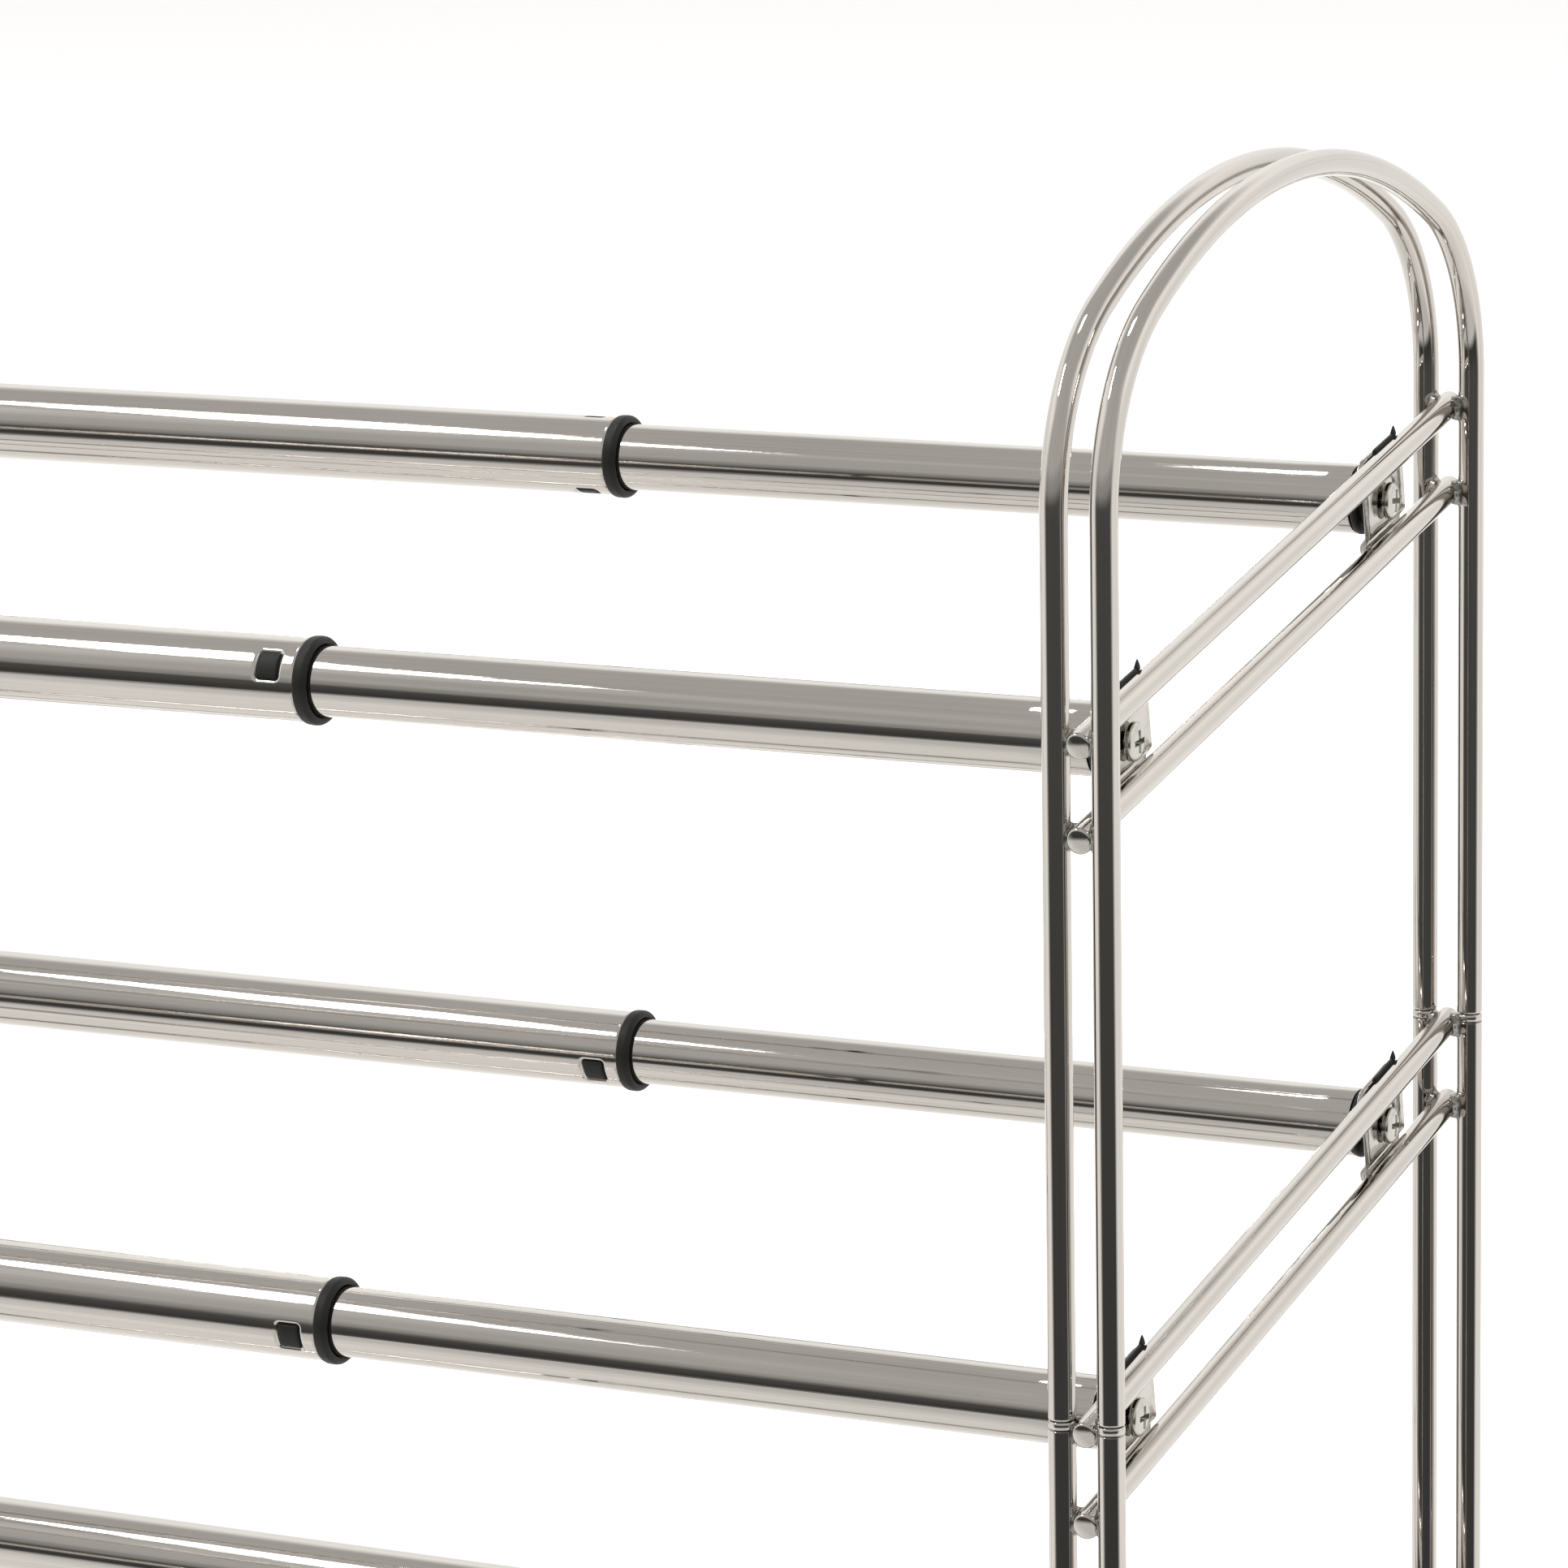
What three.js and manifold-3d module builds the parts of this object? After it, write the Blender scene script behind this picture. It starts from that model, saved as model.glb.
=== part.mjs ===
// Three-tier expandable shoe rack: four welded wire end frames, six telescoping
// rails on sloping tiers, clamp brackets, tube plugs, reducing collars and screws.
// Millimetres, +Z up. Origin: on the floor, at the centre of the footprint.
// +X runs along the rails, -Y is the front (lower) side of the sloping shelves.
import * as THREE from 'three';
import * as BufferGeometryUtils from 'three/addons/utils/BufferGeometryUtils.js';
import Module from 'manifold-3d';

const wasm = await Module();
wasm.setup();

// ---------------------------------------------------------------- dimensions
const FRAME_SPACING = 809.5;      // between the centre planes of the two end frames
const DEPTH = 220;                // between front and rear upright centrelines
const WIRE_R = 3;                 // 6 mm wire
const PAIR_OFFSET = 5.6;          // each upright is a pair of wires, this far either side of the frame plane
const SLOPE = THREE.MathUtils.degToRad(10.14);   // shelf slope, rear rail higher
const BAR_SPACING = 20;           // vertical distance between the two cross bars of a tier
const TIER_PITCH = 148;
const TOP_BAR_Z = 352;            // upper cross bar of the top tier, at the front uprights
const BAR_OVERRUN = 1.7;          // cross bars run this far past the upright centrelines

const ARCH_START_Z = 400;         // uprights are straight up to here
const CORNER_R = 45;              // bend at each shoulder of the hoop
const CROWN_R = 193;              // shallow crown between the shoulders

const SPLIT_ABOVE_BAR = 2.5;      // the two halves of a frame meet this far above the middle tier's upper bar
const JOINT_GAP = 0.3;
const SPIGOT_R = 1.95;
const SPIGOT_L = 12;
const SOCKET_R = 2.35;
const SOCKET_L = 14;

const FOOT_R = 4.1;               // moulded cap on each wire end
const FOOT_H = 11;

const FRONT_TUBE = { y: 30.6, z: -4.5 };   // rail centre from the front upright / upper bar height
const REAR_TUBE = { y: 184.0, z: 23.0 };

const OUTER_R = 9.5;              // 19 mm outer tube, 0.5 mm wall
const OUTER_BORE = 9.0;
const OUTER_L = 600;
const INNER_R = 8;                // 16 mm inner tube, 0.7 mm wall
const INNER_BORE = 7.3;
const INNER_L = 585;
const TUBE_END = 10;              // tube ends stop this far short of the frame plane

const COLLAR_R = 10;              // reducing collar: flange outside, split sleeve inside the outer tube
const COLLAR_W = 4;
const SLEEVE_R = 8.85;
const COLLAR_BORE = 8.15;
const SLEEVE_L = 22;
const WINDOW_L = 6.6;             // snap window through the outer tube wall
const WINDOW_W = 7.4;
const WINDOW_FROM_END = 3.6;
const TAB_GAP = 0.3;
const TAB_R = 9.4;

const PLUG_FLANGE_T = 1.7;
const PLUG_BODY_L = 13;
const PLUG_BOSS_R = 6.5;          // carries the clamp plate
const GAP = 0.3;

const PLATE_T = 1.5;              // clamp bracket pressed from sheet
const PLATE_HALF_W = 12;
const PLATE_HALF_H = 12.1;        // a little past the bars' axes
const PLATE_TOP_HALF_W = 9.2;     // corners cut away
const PLATE_SIDE_HALF_H = 8.6;

const SCREW_SHANK_R = 1.6;
const SCREW_SHANK_L = 17;
const SCREW_HEAD_R = 4.3;
const SCREW_HEAD_H = 2.1;

const WIRE_SIDES = 10;
const TUBE_SIDES = 20;
const SMALL_SIDES = 12;

// ---------------------------------------------------------------- finishes
const finish = {
  chrome: { color: 0xc9c7c3, roughness: 0.08, metalness: 1.0 },
  plated: { color: 0xb9b6b0, roughness: 0.22, metalness: 1.0 },
  plastic: { color: 0x1d1d1c, roughness: 0.5, metalness: 0.0 },
};
const material = (name) => new THREE.MeshStandardMaterial(finish[name]);

// ---------------------------------------------------------------- solids
function solid(geometry) {
  const g = geometry.clone();
  g.deleteAttribute('normal');
  g.deleteAttribute('uv');
  const m = BufferGeometryUtils.mergeVertices(g, 1e-4);
  return new wasm.Manifold(new wasm.Mesh({
    numProp: 3,
    vertProperties: Float32Array.from(m.attributes.position.array),
    triVerts: Uint32Array.from(m.index.array),
  }));
}

function geometryOf(manifold) {
  const mesh = manifold.getMesh();
  const g = new THREE.BufferGeometry();
  const pos = new Float32Array(mesh.numVert * 3);
  for (let i = 0; i < mesh.numVert; i++) {
    for (let k = 0; k < 3; k++) pos[i * 3 + k] = mesh.vertProperties[i * mesh.numProp + k];
  }
  g.setAttribute('position', new THREE.BufferAttribute(pos, 3));
  g.setIndex(new THREE.BufferAttribute(Uint32Array.from(mesh.triVerts), 1));
  g.computeVertexNormals();
  return g;
}

// A path through given points that lands exactly on each of them, with the
// tangent of the underlying smooth route at every point.
class KeyedPath extends THREE.Curve {
  constructor(points, tangents) {
    super();
    this.points = points;
    this.tangents = tangents;
  }
  getUtoTmapping(u) { return u; }
  getPoint(t, target = new THREE.Vector3()) {
    const n = this.points.length - 1;
    const i = Math.min(Math.floor(t * n + 1e-9), n - 1);
    return target.copy(this.points[i]).lerp(this.points[i + 1], t * n - i);
  }
  getTangent(t, target = new THREE.Vector3()) {
    const n = this.points.length - 1;
    return target.copy(this.tangents[Math.round(t * n)]);
  }
}

function disc(r, sides, turn = 0) {
  const s = new THREE.Shape();
  for (let i = 0; i < sides; i++) {
    const a = turn + (i / sides) * Math.PI * 2;
    if (i === 0) s.moveTo(r * Math.cos(a), r * Math.sin(a));
    else s.lineTo(r * Math.cos(a), r * Math.sin(a));
  }
  s.closePath();
  return s;
}

function sweep(points, tangents, r, sides, turn = 0) {
  return new THREE.ExtrudeGeometry(disc(r, sides, turn), {
    steps: points.length - 1,
    extrudePath: new KeyedPath(points, tangents),
    bevelEnabled: false,
  });
}

function rod(a, b, r, sides, turn = 0) {
  const t = b.clone().sub(a).normalize();
  return solid(sweep([a, b], [t, t], r, sides, turn));
}

// Turned part about the X axis: profile is [x, radius] pairs, taken in the
// direction that turns its faces outwards.
function turnedX(profile, sides) {
  const area = profile.reduce((sum, [x, r], i) => {
    const [xn, rn] = profile[(i + 1) % profile.length];
    return sum + x * rn - xn * r;
  }, 0);
  const ordered = area > 0 ? profile : [...profile].reverse();
  const g = new THREE.LatheGeometry(
    ordered.map(([x, r]) => new THREE.Vector2(r, -x)), sides, Math.PI / sides);
  g.rotateZ(Math.PI / 2);          // lathe axis (Y) onto X
  return solid(g);
}

// Ring section (never touching the axis), closed on itself.
const ring = (profile, sides) => turnedX([...profile, profile[0]], sides);

function box(x0, x1, y0, y1, z0, z1) {
  const g = new THREE.BoxGeometry(x1 - x0, y1 - y0, z1 - z0);
  g.translate((x0 + x1) / 2, (y0 + y1) / 2, (z0 + z1) / 2);
  return solid(g);
}

const V = (x, y, z) => new THREE.Vector3(x, y, z);
const barZ = (tier, lower) => TOP_BAR_Z - TIER_PITCH * tier - (lower ? BAR_SPACING : 0);
const atY = (y) => y - DEPTH / 2;                      // from the front upright to the part's frame
const rise = (y) => y * Math.tan(SLOPE);

// ---------------------------------------------------------------- end frames
function crossBar(tier, lower) {
  const z = barZ(tier, lower);
  return rod(
    V(0, atY(-BAR_OVERRUN), z + rise(-BAR_OVERRUN)),
    V(0, atY(DEPTH + BAR_OVERRUN), z + rise(DEPTH + BAR_OVERRUN)), WIRE_R, WIRE_SIDES);
}

const splitZ = { front: barZ(1) + SPLIT_ABOVE_BAR, rear: barZ(1) + SPLIT_ABOVE_BAR + rise(DEPTH) };

function hoop(x) {
  const half = DEPTH / 2;
  const cornerY = half - CORNER_R;
  const lean = Math.asin(cornerY / (CROWN_R - CORNER_R));
  const crownZ = ARCH_START_Z - (CROWN_R - CORNER_R) * Math.cos(lean);
  const pts = [];
  const tan = [];
  const put = (y, z, ty, tz) => { pts.push(V(x, y, z)); tan.push(V(0, ty, tz)); };
  put(-half, splitZ.front + JOINT_GAP / 2, 0, 1);
  const cornerSteps = 5;
  const crownSteps = 6;
  const cornerSweep = Math.PI / 2 - lean;
  for (let i = 0; i <= cornerSteps; i++) {            // front shoulder
    const a = Math.PI - (i / cornerSteps) * cornerSweep;
    put(-cornerY + CORNER_R * Math.cos(a), ARCH_START_Z + CORNER_R * Math.sin(a), Math.sin(a), -Math.cos(a));
  }
  for (let i = 1; i < crownSteps; i++) {              // crown
    const a = Math.PI / 2 + lean - (i / crownSteps) * 2 * lean;
    put(CROWN_R * Math.cos(a), crownZ + CROWN_R * Math.sin(a), Math.sin(a), -Math.cos(a));
  }
  for (let i = 0; i <= cornerSteps; i++) {            // rear shoulder
    const a = Math.PI / 2 - lean - (i / cornerSteps) * cornerSweep;
    put(cornerY + CORNER_R * Math.cos(a), ARCH_START_Z + CORNER_R * Math.sin(a), Math.sin(a), -Math.cos(a));
  }
  put(half, splitZ.rear + JOINT_GAP / 2, 0, -1);
  let wire = solid(sweep(pts, tan, WIRE_R, WIRE_SIDES));
  for (const [y, z] of [[-half, splitZ.front], [half, splitZ.rear]]) {
    wire = wire.add(rod(V(x, y, z - SPIGOT_L), V(x, y, z + 4), SPIGOT_R, 8));
  }
  return wire;
}

function upperFrame() {
  return hoop(-PAIR_OFFSET).add(hoop(PAIR_OFFSET)).add(crossBar(0, false)).add(crossBar(0, true));
}

function lowerFrame() {
  let frame = crossBar(1, false).add(crossBar(1, true)).add(crossBar(2, false)).add(crossBar(2, true));
  for (const x of [-PAIR_OFFSET, PAIR_OFFSET]) {
    for (const [y, z] of [[-DEPTH / 2, splitZ.front], [DEPTH / 2, splitZ.rear]]) {
      const top = z - JOINT_GAP / 2;
      const leg = rod(V(x, y, 1), V(x, y, top), WIRE_R, WIRE_SIDES)
        .add(rod(V(x, y, 0), V(x, y, FOOT_H), FOOT_R, SMALL_SIDES));
      frame = frame.add(leg).subtract(rod(V(x, y, top - SOCKET_L), V(x, y, top + 1), SOCKET_R, 8));
    }
  }
  return frame;
}

// ---------------------------------------------------------------- rails
// Rail parts are built about the X axis with x measured from the frame plane
// at the right-hand end (negative inwards), and mirrored for the left end.
const windowShape = (angle, grow, r0, r1) => {
  const b = box(-WINDOW_L / 2 - grow, WINDOW_L / 2 + grow, r0, r1, -WINDOW_W / 2 - grow, WINDOW_W / 2 + grow);
  return b.rotate([180 - angle, 0, 0]);
};
const collarX = FRAME_SPACING / 2 - (FRAME_SPACING - TUBE_END - OUTER_L);    // right end of the outer tube
const windowX = collarX - WINDOW_FROM_END - WINDOW_L / 2;

function outerTube(angle) {
  const x0 = collarX - OUTER_L;
  let tube = ring([[x0, OUTER_BORE], [collarX, OUTER_BORE], [collarX, OUTER_R], [x0, OUTER_R]], TUBE_SIDES);
  for (const a of [angle, angle + 180]) {
    tube = tube.subtract(windowShape(a, 0, 5, 14).translate([windowX, 0, 0]));
  }
  return tube;
}

function innerTube() {
  const x1 = FRAME_SPACING / 2 - TUBE_END;
  const x0 = x1 - INNER_L;
  return ring([[x0, INNER_BORE], [x1, INNER_BORE], [x1, INNER_R], [x0, INNER_R]], TUBE_SIDES);
}

function collar(angle) {
  const x = collarX + 0.2;
  let body = ring([
    [x - SLEEVE_L, COLLAR_BORE], [x + COLLAR_W, COLLAR_BORE],
    [x + COLLAR_W, COLLAR_R - 0.5], [x + COLLAR_W - 0.5, COLLAR_R],
    [x, COLLAR_R], [x, SLEEVE_R], [x - SLEEVE_L, SLEEVE_R],
  ], TUBE_SIDES);
  const shell = ring([
    [windowX - WINDOW_L, SLEEVE_R - 0.4], [windowX + WINDOW_L, SLEEVE_R - 0.4],
    [windowX + WINDOW_L, TAB_R], [windowX - WINDOW_L, TAB_R],
  ], TUBE_SIDES);
  for (const a of [angle, angle + 180]) {
    body = body.add(shell.intersect(windowShape(a, -TAB_GAP, 5, 14).translate([windowX, 0, 0])));
  }
  return body;
}

const plateX1 = -WIRE_R - GAP;                        // clamp plate lies against the inner side of the bars
const plateX0 = plateX1 - PLATE_T;

// side = +1 right-hand end (inner tube), -1 left-hand end (outer tube)
function plug(side) {
  const bore = side > 0 ? INNER_BORE : OUTER_BORE;
  const outer = side > 0 ? INNER_R : OUTER_R;
  const x = -TUBE_END + GAP;
  const body = bore - 0.35;
  return turnedX([
    [x - PLUG_BODY_L, body - 0.6], [x - PLUG_BODY_L + 1, body], [x, body],
    [x, outer + 0.4], [x + PLUG_FLANGE_T, outer + 0.4],
    [x + PLUG_FLANGE_T, PLUG_BOSS_R], [plateX0 - GAP, PLUG_BOSS_R],
    [plateX0 - GAP, SCREW_SHANK_R + 0.35], [x - PLUG_BODY_L, SCREW_SHANK_R + 0.35],
    [x - PLUG_BODY_L, body - 0.6],
  ], SMALL_SIDES);
}

function bracket() {
  const s = new THREE.Shape();
  const outline = [
    [-PLATE_HALF_W, -PLATE_SIDE_HALF_H], [-PLATE_HALF_W, PLATE_SIDE_HALF_H],
    [-PLATE_TOP_HALF_W, PLATE_HALF_H], [PLATE_TOP_HALF_W, PLATE_HALF_H],
    [PLATE_HALF_W, PLATE_SIDE_HALF_H], [PLATE_HALF_W, -PLATE_SIDE_HALF_H],
    [PLATE_TOP_HALF_W, -PLATE_HALF_H], [-PLATE_TOP_HALF_W, -PLATE_HALF_H],
  ];
  outline.forEach(([y, z], i) => (i ? s.lineTo(y, z) : s.moveTo(y, z)));
  s.closePath();
  const g = new THREE.ExtrudeGeometry(s, { depth: PLATE_T, steps: 1, bevelEnabled: false });
  g.rotateX(Math.PI / 2);                             // outline (x, y) -> (x, z), depth -> -y
  g.rotateZ(Math.PI / 2);                             // -> (y, z), depth along +x
  g.translate(plateX0, 0, 0);
  return solid(g).subtract(rod(V(plateX0 - 1, 0, 0), V(plateX1 + 1, 0, 0), SCREW_SHANK_R + 0.35, SMALL_SIDES));
}

function screw() {
  const x = plateX1 + GAP;
  return turnedX([
    [x - SCREW_SHANK_L, 0], [x - SCREW_SHANK_L + 1.5, SCREW_SHANK_R], [x, SCREW_SHANK_R],
    [x, SCREW_HEAD_R], [x + 0.9, SCREW_HEAD_R], [x + SCREW_HEAD_H, SCREW_HEAD_R * 0.55],
    [x + SCREW_HEAD_H, 0],
  ], 8);
}

// ---------------------------------------------------------------- assembly
const rack = new THREE.Group();

function add(parent, name, manifold, look) {
  const mesh = new THREE.Mesh(geometryOf(manifold), material(look));
  mesh.name = name;
  parent.add(mesh);
  return mesh;
}

const ends = [['left', -1], ['right', 1]];
for (const [end, side] of ends) {
  const at = [(side * FRAME_SPACING) / 2, 0, 0];
  add(rack, `upper_end_frame_${end}`, upperFrame().translate(at), 'chrome');
  add(rack, `lower_end_frame_${end}`, lowerFrame().translate(at), 'chrome');
}

// angle at which each rail's pair of snap windows faces (0 = front, 90 = up)
const windowAngle = {
  top_front: 30, top_rear: 105, middle_front: -15, middle_rear: -30, bottom_front: 60, bottom_rear: 15,
};

['top', 'middle', 'bottom'].forEach((tierName, tier) => {
  for (const [row, place] of [['front', FRONT_TUBE], ['rear', REAR_TUBE]]) {
    const rail = `${tierName}_${row}`;
    const y = atY(place.y);
    const z = barZ(tier) + place.z;
    const angle = windowAngle[rail];
    const put = (name, manifold, look) => add(rack, name, manifold.translate([0, y, z]), look);

    put(`${rail}_outer_tube`, outerTube(angle), 'chrome');
    put(`${rail}_inner_tube`, innerTube(), 'chrome');
    put(`${rail}_collar`, collar(angle), 'plastic');

    for (const [end, side] of ends) {
      const toEnd = (m) => (side > 0 ? m : m.mirror([1, 0, 0])).translate([(side * FRAME_SPACING) / 2, 0, 0]);
      put(`${rail}_${end}_plug`, toEnd(plug(side)), 'plastic');
      const clampDrop = barZ(tier) - BAR_SPACING / 2 + rise(place.y) - (barZ(tier) + place.z);
      put(`${rail}_${end}_bracket`,
        toEnd(bracket()).rotate([THREE.MathUtils.radToDeg(SLOPE), 0, 0]).translate([0, 0, clampDrop]), 'plated');
      put(`${rail}_${end}_screw`, toEnd(screw()), 'plated');
    }
  }
});

export default rack;
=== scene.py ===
import math
import bpy
import bmesh
import numpy as np
from mathutils import Matrix, Vector
from mathutils.geometry import delaunay_2d_cdt


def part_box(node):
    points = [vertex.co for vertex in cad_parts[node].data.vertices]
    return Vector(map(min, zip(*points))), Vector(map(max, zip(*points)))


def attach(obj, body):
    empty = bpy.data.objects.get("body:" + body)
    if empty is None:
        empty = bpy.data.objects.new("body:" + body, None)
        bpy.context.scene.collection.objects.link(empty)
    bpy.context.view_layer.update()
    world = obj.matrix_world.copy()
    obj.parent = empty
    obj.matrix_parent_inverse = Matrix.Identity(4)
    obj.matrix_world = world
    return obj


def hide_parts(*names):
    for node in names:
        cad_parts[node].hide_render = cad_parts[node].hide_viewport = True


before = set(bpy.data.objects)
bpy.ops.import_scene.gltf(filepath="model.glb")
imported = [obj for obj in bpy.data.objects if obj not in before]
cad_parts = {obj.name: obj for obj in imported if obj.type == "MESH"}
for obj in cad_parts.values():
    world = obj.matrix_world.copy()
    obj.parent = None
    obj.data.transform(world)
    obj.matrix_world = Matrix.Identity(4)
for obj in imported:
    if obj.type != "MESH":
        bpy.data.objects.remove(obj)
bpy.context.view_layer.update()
MM = 0.001
TIERS = ("top", "middle", "bottom")
ROWS = ("front", "rear")
ENDS = (("left", -1), ("right", 1))
LEVEL = {"top": "upper", "middle": "lower", "bottom": "lower"}

# The rack's own measures, in millimetres, as in the CAD source
WIRE_R = 3.0
PAIR = 5.6
SLOPE = math.radians(10.14)
BAR_SPACING = 20.0
BAR_OVERRUN = 1.7
CORNER_R = 45.0
CROWN_R = 193.0
SPLIT_ABOVE_BAR = 2.5
DISH = 1.5            # how far the middle of a clamp plate stands forward, with its screw, plug and tube end
HALF_GAP = 0.15


# ------------------------------------------------------------------ mesh tools
class Soup:
    """Collects several closed shells into one mesh, with wrap coordinates (turns round, metres along)."""

    def __init__(self):
        self.v, self.f, self.m, self.uv, self.n = [], [], [], [], 0

    def add(self, verts, faces, uvs=None, material=0):
        verts = np.asarray(verts, float)
        self.v.append(verts)
        self.f += [tuple(i + self.n for i in f) for f in faces]
        self.m += [material] * len(faces)
        self.uv += uvs if uvs is not None else [[(0.0, 0.0)] * len(f) for f in faces]
        self.n += len(verts)
        return self

    def arrays(self):
        return np.concatenate(self.v), self.f, self.uv, self.m


def fill_wrap(me, uvs):
    layer = me.uv_layers.new(name="wrap")
    flat = np.array([c for face in uvs for c in face], np.float32).reshape(-1)
    layer.data.foreach_set("uv", flat)


def make_mesh(name, verts, faces, uvs, materials, index=None, sharp=32.0):
    me = bpy.data.meshes.new(name)
    me.from_pydata((np.asarray(verts) * MM).tolist(), [], [list(f) for f in faces])
    for m in materials:
        me.materials.append(m)
    if index is not None:
        me.polygons.foreach_set("material_index", np.asarray(index, np.int32))
    me.polygons.foreach_set("use_smooth", np.ones(len(me.polygons), bool))
    if uvs is not None:
        fill_wrap(me, uvs)
    bm = bmesh.new()
    bm.from_mesh(me)
    bmesh.ops.recalc_face_normals(bm, faces=bm.faces)
    limit = math.radians(sharp)
    for e in bm.edges:
        if len(e.link_faces) == 2 and e.calc_face_angle() > limit:
            e.smooth = False
    bm.to_mesh(me)
    bm.free()
    me.update()
    return me


def place(name, me, body, nodes=(), matrix=None):
    o = bpy.data.objects.new(name, me)
    bpy.context.scene.collection.objects.link(o)
    if matrix is not None:
        o.matrix_world = matrix
    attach(o, body)
    if nodes:
        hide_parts(*nodes)
    return o


def lathe(profile, segments, closed=False, mirror=False):
    """Turned shell about X from (x, r) pairs; a profile that isn't closed starts and ends on the axis."""
    pts = [(x, max(r, 0.0)) for x, r in profile]
    ang = [2 * math.pi * k / segments for k in range(segments)]
    verts, rings, run = [], [], [0.0]
    for i, (x, r) in enumerate(pts):
        if i:
            run.append(run[-1] + math.dist(pts[i - 1], (x, r)) * MM)
        if r < 1e-6:
            rings.append([len(verts)])
            verts.append((x, 0.0, 0.0))
        else:
            rings.append(list(range(len(verts), len(verts) + segments)))
            verts += [(x, r * math.cos(a), r * math.sin(a)) for a in ang]
    faces, uvs = [], []
    pairs = [(i, i + 1) for i in range(len(rings) - 1)] + ([(len(rings) - 1, 0)] if closed else [])
    for i, j in pairs:
        a, b = rings[i], rings[j]
        va, vb = run[i], run[j] if j else run[-1] + 0.001
        if len(a) == 1 and len(b) == 1:
            continue
        for k in range(segments):
            m = (k + 1) % segments
            u0, u1 = k / segments, (k + 1) / segments
            if len(a) == 1:
                faces.append((a[0], b[m], b[k]))
                uvs.append([((u0 + u1) / 2, va), (u1, vb), (u0, vb)])
            elif len(b) == 1:
                faces.append((a[k], a[m], b[0]))
                uvs.append([(u0, va), (u1, va), ((u0 + u1) / 2, vb)])
            else:
                faces.append((a[k], a[m], b[m], b[k]))
                uvs.append([(u0, va), (u1, va), (u1, vb), (u0, vb)])
    verts = np.array(verts)
    if mirror:
        verts = verts * [-1, 1, 1]
        faces = [tuple(reversed(f)) for f in faces]
        uvs = [list(reversed(c)) for c in uvs]
    return verts, faces, uvs


def rounded(points, radius, steps=4):
    """Rounds the inner corners of an open polyline of (x, r) pairs."""
    out = [points[0]]
    for i in range(1, len(points) - 1):
        p0, p1, p2 = (np.array(points[j], float) for j in (i - 1, i, i + 1))
        a, b = p0 - p1, p2 - p1
        la, lb = np.linalg.norm(a), np.linalg.norm(b)
        cut = min(radius, la * 0.49, lb * 0.49)
        s, e = p1 + a / la * cut, p1 + b / lb * cut
        for k in range(steps + 1):
            t = k / steps
            out.append(tuple((1 - t) ** 2 * s + 2 * t * (1 - t) * p1 + t * t * e))
    out.append(points[-1])
    return out


def sweep(path, radii, sides=28, up=(1.0, 0.0, 0.0), start=0.0, dome=0.0):
    """Round shell along a path that stays in the plane across `up`, with its own radius at each point."""
    path = np.asarray(path, float)
    n = len(path)
    tan = np.zeros_like(path)
    tan[1:-1] = path[2:] - path[:-2]
    tan[0], tan[-1] = path[1] - path[0], path[-1] - path[-2]
    tan /= np.linalg.norm(tan, axis=1)[:, None]
    run = start + np.concatenate([[0], np.cumsum(np.linalg.norm(np.diff(path, axis=0), axis=1))]) * MM
    u = np.asarray(up, float)
    verts, faces, uvs = [], [], []
    for p, t, r in zip(path, tan, radii):
        a = u - t * (u @ t)
        a /= np.linalg.norm(a)
        b = np.cross(t, a)
        for k in range(sides):
            w = 2 * math.pi * k / sides
            verts.append(p + r * (math.cos(w) * a + math.sin(w) * b))
    for i in range(n - 1):
        for k in range(sides):
            j = (k + 1) % sides
            faces.append((i * sides + k, i * sides + j, (i + 1) * sides + j, (i + 1) * sides + k))
            uvs.append([(k / sides, run[i]), ((k + 1) / sides, run[i]), ((k + 1) / sides, run[i + 1]), (k / sides, run[i + 1])])
    verts += [path[0] - tan[0] * dome, path[-1] + tan[-1] * dome]
    c0, c1 = n * sides, n * sides + 1
    for k in range(sides):
        j = (k + 1) % sides
        faces.append((c0, j, k))
        uvs.append([((k + 0.5) / sides, run[0]), ((k + 1) / sides, run[0] + 0.002), (k / sides, run[0] + 0.002)])
        faces.append((c1, (n - 1) * sides + k, (n - 1) * sides + j))
        uvs.append([((k + 0.5) / sides, run[-1]), (k / sides, run[-1] + 0.002), ((k + 1) / sides, run[-1] + 0.002)])
    return np.array(verts), faces, uvs


def rod(a, b, r, sides=28, up=(1.0, 0.0, 0.0), step=12.0, edge=0.35, start=0.0):
    """Straight rod with rounded end edges and very slightly domed ends."""
    a, b = np.asarray(a, float), np.asarray(b, float)
    length = np.linalg.norm(b - a)
    turn = [math.radians(w) for w in (8, 26, 45, 64, 82)]
    marks = sorted(edge * (1 - math.sin(w)) for w in turn)
    rad = [r - edge + math.sqrt(max(0.0, edge * edge - (edge - m) ** 2)) for m in marks]
    marks, rad = marks + [edge], rad + [r]
    mid = max(2, int(length / step))
    inner = list(np.linspace(edge, length - edge, mid + 1)[1:-1])
    at = marks + inner + [length - m for m in reversed(marks)]
    rr = rad + [r] * len(inner) + list(reversed(rad))
    path = [a + (b - a) * s / length for s in at]
    return sweep(path, rr, sides, up, start, dome=edge * 0.12)


def turned_z(profile, segments, x, y):
    """Turned shell about a vertical axis at (x, y) from (z, r) pairs."""
    v, f, uv = lathe(profile, segments)
    return np.stack([v[:, 1] + x, v[:, 2] + y, v[:, 0]], axis=1), f, uv


def applied(o):
    dg = bpy.context.evaluated_depsgraph_get()
    me = bpy.data.meshes.new_from_object(o.evaluated_get(dg))
    old = o.data
    bpy.data.objects.remove(o)
    bpy.data.meshes.remove(old)
    return me


def arrays_of(me):
    co = np.zeros(len(me.vertices) * 3)
    me.vertices.foreach_get("co", co)
    return co.reshape(-1, 3), [tuple(p.vertices) for p in me.polygons]


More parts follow.
